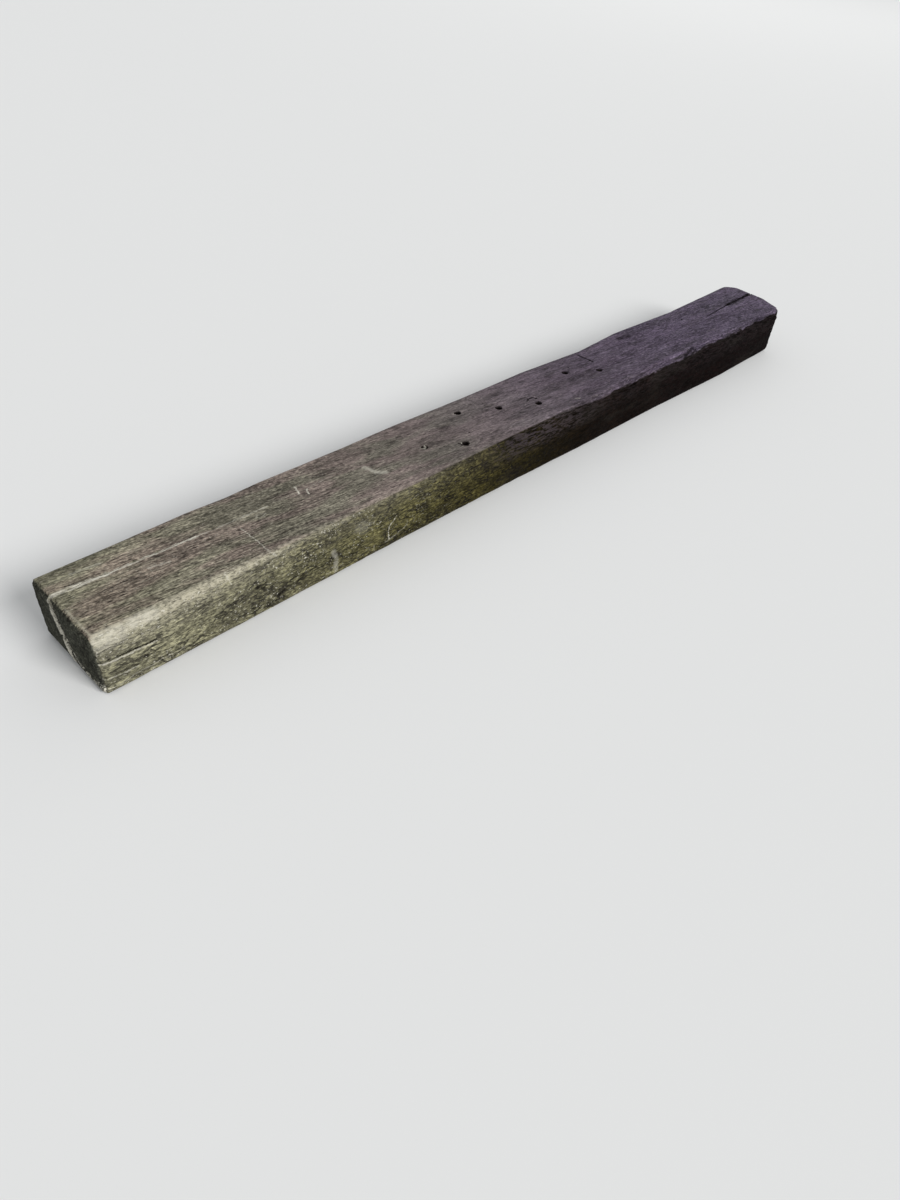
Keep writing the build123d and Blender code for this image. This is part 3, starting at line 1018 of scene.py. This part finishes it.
def base_colour(paint, x, noises):
    """Colour of each side along the timber, with its painted light along X, uneven by its streaks and fibres,
    and with painted shade in the hollows of the relief and a painted highlight on its ridges.
    """
    top, front, end = (paint.field(name) for name in ("top_side", "front_side", "end_side"))
    # Painted light along X: each side's colour is bright at the near end and dark at the far end.
    colour = paint.mix(paint.along(x, HIDDEN_COLOURS_AND_PAINTED_LIGHT), paint.along(x, TOP_COLOURS_AND_PAINTED_LIGHT), top)
    colour = paint.mix(colour, paint.along(x, FRONT_COLOURS_AND_PAINTED_LIGHT), front)
    colour = paint.mix(colour, paint.along(x, [(-HALF, NEAR_END_SHADED), (HALF, FAR_END_SHADED)]), end)
    calm = paint.total(paint.span(x, -0.9, -0.3, 0.4, 0.2), paint.span(x, 0.3, 0.8, 0.0, 0.12))
    strength = paint.most(calm, paint.product(front, 0.5))
    darkest = paint.math("SUBTRACT", 1.0, strength)
    palest = paint.math("ADD", 1.0, strength)
    lightness = paint.product(
        paint.span(noises.blotch, 0.3, 0.7, 0.76, 1.24),
        paint.span(noises.streak, 0.3, 0.7, 0.82, 1.18),
        paint.span(noises.fibre, 0.27, 0.73, darkest, palest),
        paint.span(noises.speck, 0.3, 0.7, darkest, palest),
        paint.span(noises.fine, 0.3, 0.7, darkest, palest),
        # Painted shade in the relief's hollows and a painted highlight on its ridges.
        paint.span(paint.field("relief_shading"), 0.2, 0.95, 0.65, 1.2),
    )
    colour = paint.mix(colour, paint.grey(lightness), 1.0, "MULTIPLY")
    patches = paint.span(paint.noise((240, 60, 60), 3, shift=84), 0.42, 0.58)
    tinted = paint.product(top, paint.span(x, -0.5, 0.1, 1.0, 0.2))
    return paint.mix(colour, paint.mix(MAUVE_TINT, OLIVE_TINT, patches), tinted, "MULTIPLY")


def add_dark_grain(paint, colour, near, noises):
    """Darken the grooves, pits, cracks, lines and patches, and add pale lines on the top."""
    groove = paint.product(paint.span(noises.fine, 0.46, 0.3), paint.span(noises.fibre, 0.6, 0.42), 0.7)
    pit = paint.product(paint.span(noises.pits, 0.37, 0.28), near, 0.75)
    colour = paint.mix(colour, GROOVE, paint.most(groove, pit))
    # Dark cracks on the front, their darkness partly painted shade.
    colour = paint.mix(colour, STAIN_AND_SHADE, paint.product(noises.cracks, paint.field("front_side"), 0.8))
    colour = paint.mix(colour, GROOVE, paint.product(paint.span(noises.line, 0.36, 0.27), near, 0.7))
    pale_line = paint.product(paint.span(noises.line, 0.62, 0.72), near, paint.field("top_side"), 0.55)
    colour = paint.mix(colour, FLECK_AND_GLINT, pale_line)
    dark = paint.product(paint.field("dark"), paint.span(noises.fibre, 0.3, 0.6, 0.6, 1.0), 0.85)
    return paint.mix(colour, GROOVE, dark)


def add_pale_grain(paint, colour, x, near, noises):
    """Lighten the worn edges and their painted highlight, the flecks and their painted glints, the bark, the
    lichen and the far streaks with their painted sheen, and say how far the wood is worn.
    """
    fine, fibre, speck = noises.fine, noises.fibre, noises.speck
    top, front, pale = (paint.field(name) for name in ("top_side", "front_side", "pale"))
    worn = paint.product(pale, paint.span(fine, 0.34, 0.6, 0.35, 1.0), paint.span(speck, 0.32, 0.6, 0.5, 1.0))
    worn = paint.math("MINIMUM", worn, 1.0)
    colour = paint.mix(colour, WORN_PALE_AND_HIGHLIGHT, worn)
    # Pale specks on the near top and front: flecks of the grain, with painted glints of wet wood.
    glint = paint.product(paint.span(speck, 0.57, 0.7), paint.span(fine, 0.42, 0.6), near)
    sides = paint.most(top, paint.product(front, paint.span(x, -0.5, 0.0, 1.0, 0.04)))
    colour = paint.mix(colour, paint.mix(FLECK_AND_GLINT, OLIVE_FLECK_AND_GLINT, front), paint.product(glint, sides, 0.7))
    bark = paint.product(paint.field("wane"), paint.span(fibre, 0.42, 0.6))
    colour = paint.mix(colour, WANE, paint.product(bark, paint.span(x, -0.05, 0.35, 0.95, 0.18)))
    overgrown = paint.most(front, pale, paint.product(top, 0.35))
    colour = paint.mix(colour, TORN_PALE, paint.product(noises.lichen, overgrown))
    # Pale mauve streaks along the fibres of the far top: grain streaks with a painted sheen.
    far_streak_and_sheen = paint.product(paint.span(fibre, 0.54, 0.72), top, paint.span(x, -0.2, 0.5, 0.0, 0.5))
    return paint.mix(colour, FAR_FLECK_AND_SHEEN, far_streak_and_sheen), worn


def add_marks(paint, colour, x):
    """Draw the scratches, lips, stains and torn fibres, and say where they are dark. The dark strokes and the
    cut walls carry painted shade, and pale strokes on the checks' lips, the near arris, the step's strip and
    the bore rims carry painted highlights.
    """
    top, front, end, cut = (paint.field(name) for name in ("top_side", "front_side", "end_side", "cut"))
    shake = paint.noise((12, 7, 7), 3, shift=41, rough=0.7, output="Color")
    shake = paint.vector("SCALE", paint.vector("SUBTRACT", shake, (0.5, 0.5, 0.5)), MARK_SHAKE)
    place = paint.vector("ADD", paint.place, shake)
    broken = paint.span(paint.noise((12, 6, 6), 3, shift=47), 0.34, 0.56, 0.45, 1.0)
    crumbs = paint.span(paint.noise((6, 5, 5), 2, shift=75), 0.46, 0.6)
    with_arris = paint.most(front, paint.field("pale"))
    with_wane = paint.most(front, paint.field("wane"))
    dark = paint.most(
        paint.product(paint.strokes(place, DARK_AND_SHADE_TOP, ON_TOP), top),
        paint.product(paint.strokes(place, DARK_AND_SHADE_FRONT, ON_FRONT), with_wane),
    )
    dark = paint.product(dark, broken)
    pale = paint.most(
        paint.product(paint.strokes(place, PALE_TOP, ON_TOP), top),
        paint.product(paint.strokes(place, PALE_AND_LIT_FRONT, ON_FRONT), with_arris),
    )
    pale = paint.product(pale, broken, paint.math("SUBTRACT", 1.0, cut))
    grit_and_glints = paint.product(paint.strokes(place, GRIT_AND_GLINTS, ON_TOP), broken)
    torn = paint.most(
        paint.product(paint.strokes(place, PALE_AND_LIT_END, ON_END), broken),
        paint.product(paint.strokes(place, TORN_END, ON_END), crumbs),
    )
    torn = paint.product(torn, end, paint.math("LESS_THAN", x, 0.0))
    # The walls of cuts are darkened with painted shade.
    layers = [(CUT_WALL_SHADE, cut), (STAIN_AND_SHADE, dark), (TORN_PALE, pale), (TORN_PALE, grit_and_glints), (TORN_PALE, torn)]
    for layer, share in layers:
        colour = paint.mix(colour, layer, share)
    return colour, dark


def wood_roughness(paint, x, fine, worn, dark):
    """Roughness: lower in damp patches, and highest in dark marks, on the ends and on the far front."""
    damp = paint.span(paint.noise((260, 70, 70), 3, shift=31), 0.4, 0.62)
    rough = paint.total(paint.span(fine, 0.3, 0.7, 0.46, 0.68), paint.product(worn, 0.15))
    rough = paint.math("SUBTRACT", rough, paint.product(damp, 0.12))
    far_front = paint.product(paint.field("front_side"), paint.span(x, -0.5, 0.2))
    matt = paint.most(far_front, dark, paint.field("end_side"))
    return paint.total(rough, paint.product(matt, 0.3))


def wood_bump(paint, noises):
    """The shader's normal, bumped by the fine grain, pits, rings and cracks."""
    turn = paint.math("COSINE", paint.product(paint.field("rings"), 2 * np.pi))
    raised = paint.total(
        paint.product(noises.fine, 0.4),
        paint.product(noises.fibre, 0.9),
        paint.product(noises.speck, 0.5),
        paint.product(paint.span(noises.pits, 0.28, 0.42), 0.6),
        paint.product(paint.span(turn, 0.1, 1.0), 0.12),
    )
    cracked = paint.product(noises.cracks, paint.field("front_side"), 0.8)
    inputs = {"Strength": 1.0, "Distance": BUMP_HEIGHT, "Height": paint.math("SUBTRACT", raised, cracked)}
    return paint.node("Bump", inputs).outputs["Normal"]


def timber_material():
    """Old weathered hardwood: grain, worn ridges, dark pits, pale arrises, marks and damp patches."""
    paint = Paint("timber")
    x = paint.vector("DOT_PRODUCT", paint.place, (1, 0, 0))
    noises = wood_noises(paint, x)
    near = paint.span(x, -1.1, 0.3, 1.0, 0.25)
    colour = base_colour(paint, x, noises)
    colour = add_dark_grain(paint, colour, near, noises)
    colour, worn = add_pale_grain(paint, colour, x, near, noises)
    colour, dark = add_marks(paint, colour, x)
    inputs = paint.shader.inputs
    inputs["Specular IOR Level"].default_value = SPECULAR
    paint.put(inputs["Base Color"], colour)
    paint.put(inputs["Roughness"], wood_roughness(paint, x, noises.fine, worn, dark))
    paint.put(inputs["Normal"], wood_bump(paint, noises))
    return paint.material


# Camera: the photograph's viewpoint, fitted to the sleeper's edges

CAMERA_PLACE = Vector((-1.6160, -1.2913, 1.3524))
CAMERA_TARGET = Vector((-0.5521, -0.3442, 0))
CAMERA_ROLL = 6.634
PHOTO_HEIGHT = 1200
FOCAL_PIXELS = 835
SENSOR = 36


def add_camera():
    """The scene's camera, at the photograph's viewpoint."""
    lens = bpy.data.cameras.new("camera")
    lens.sensor_fit = "VERTICAL"
    lens.sensor_height = SENSOR
    lens.lens = SENSOR * FOCAL_PIXELS / PHOTO_HEIGHT
    camera = bpy.data.objects.new("camera", lens)
    bpy.context.collection.objects.link(camera)
    camera.location = CAMERA_PLACE
    level = (CAMERA_TARGET - CAMERA_PLACE).to_track_quat("-Z", "Y")
    camera.rotation_euler = (level @ Quaternion((0, 0, 1), np.radians(CAMERA_ROLL))).to_euler()
    bpy.context.scene.camera = camera


# Floor and light, with places in metres

FLOOR_SIZE = 60
FLOOR_COLOUR = (0.80, 0.80, 0.79, 1)
KEY_PLACE, KEY_TARGET = Vector((0.9, -5.0, 3.6)), Vector((-0.2, 0, 0.1))
KEY_ENERGY = 2.5
KEY_ANGLE = 25
SOFTBOX_PLACE, SOFTBOX_TARGET = Vector((10.4, 5.2, 4.9)), Vector((0.6, 0, 0.1))
SOFTBOX_SIZE = (5.0, 2.5)
SOFTBOX_ENERGY = 60
SKY_COLOUR = (0.96, 0.98, 1.0, 1)
SKY_STRENGTH = 0.5


def add_floor():
    """A plain pale floor."""
    bpy.ops.mesh.primitive_plane_add(size=FLOOR_SIZE)
    floor = bpy.context.object
    floor.name = "floor"
    surface = bpy.data.materials.new("floor")
    surface.use_nodes = True
    shader = surface.node_tree.nodes["Principled BSDF"]
    shader.inputs["Base Color"].default_value = FLOOR_COLOUR
    shader.inputs["Roughness"].default_value = 0.9
    floor.data.materials.append(surface)


def add_lamp(light, place, target):
    """Stand a lamp at a place, turned to a target."""
    lamp = bpy.data.objects.new(light.name, light)
    lamp.location = place
    lamp.rotation_euler = (target - place).to_track_quat("-Z", "Y").to_euler()
    bpy.context.collection.objects.link(lamp)


def add_light():
    """A soft key from the front and right, a low softbox far behind, and an even sky."""
    key = bpy.data.lights.new("key", "SUN")
    key.energy = KEY_ENERGY
    key.angle = np.radians(KEY_ANGLE)
    add_lamp(key, KEY_PLACE, KEY_TARGET)
    softbox = bpy.data.lights.new("softbox", "AREA")
    softbox.shape = "RECTANGLE"
    softbox.size, softbox.size_y = SOFTBOX_SIZE
    softbox.energy = SOFTBOX_ENERGY
    add_lamp(softbox, SOFTBOX_PLACE, SOFTBOX_TARGET)
    world = bpy.data.worlds.new("world")
    bpy.context.scene.world = world
    world.use_nodes = True
    background = world.node_tree.nodes["Background"]
    background.inputs["Color"].default_value = SKY_COLOUR
    background.inputs["Strength"].default_value = SKY_STRENGTH


timber = build_timber()
bpy.context.collection.objects.link(timber)
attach(timber, "root")
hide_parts("sleeper")

add_camera()
add_floor()
add_light()
bpy.context.scene.view_settings.view_transform = "Standard"
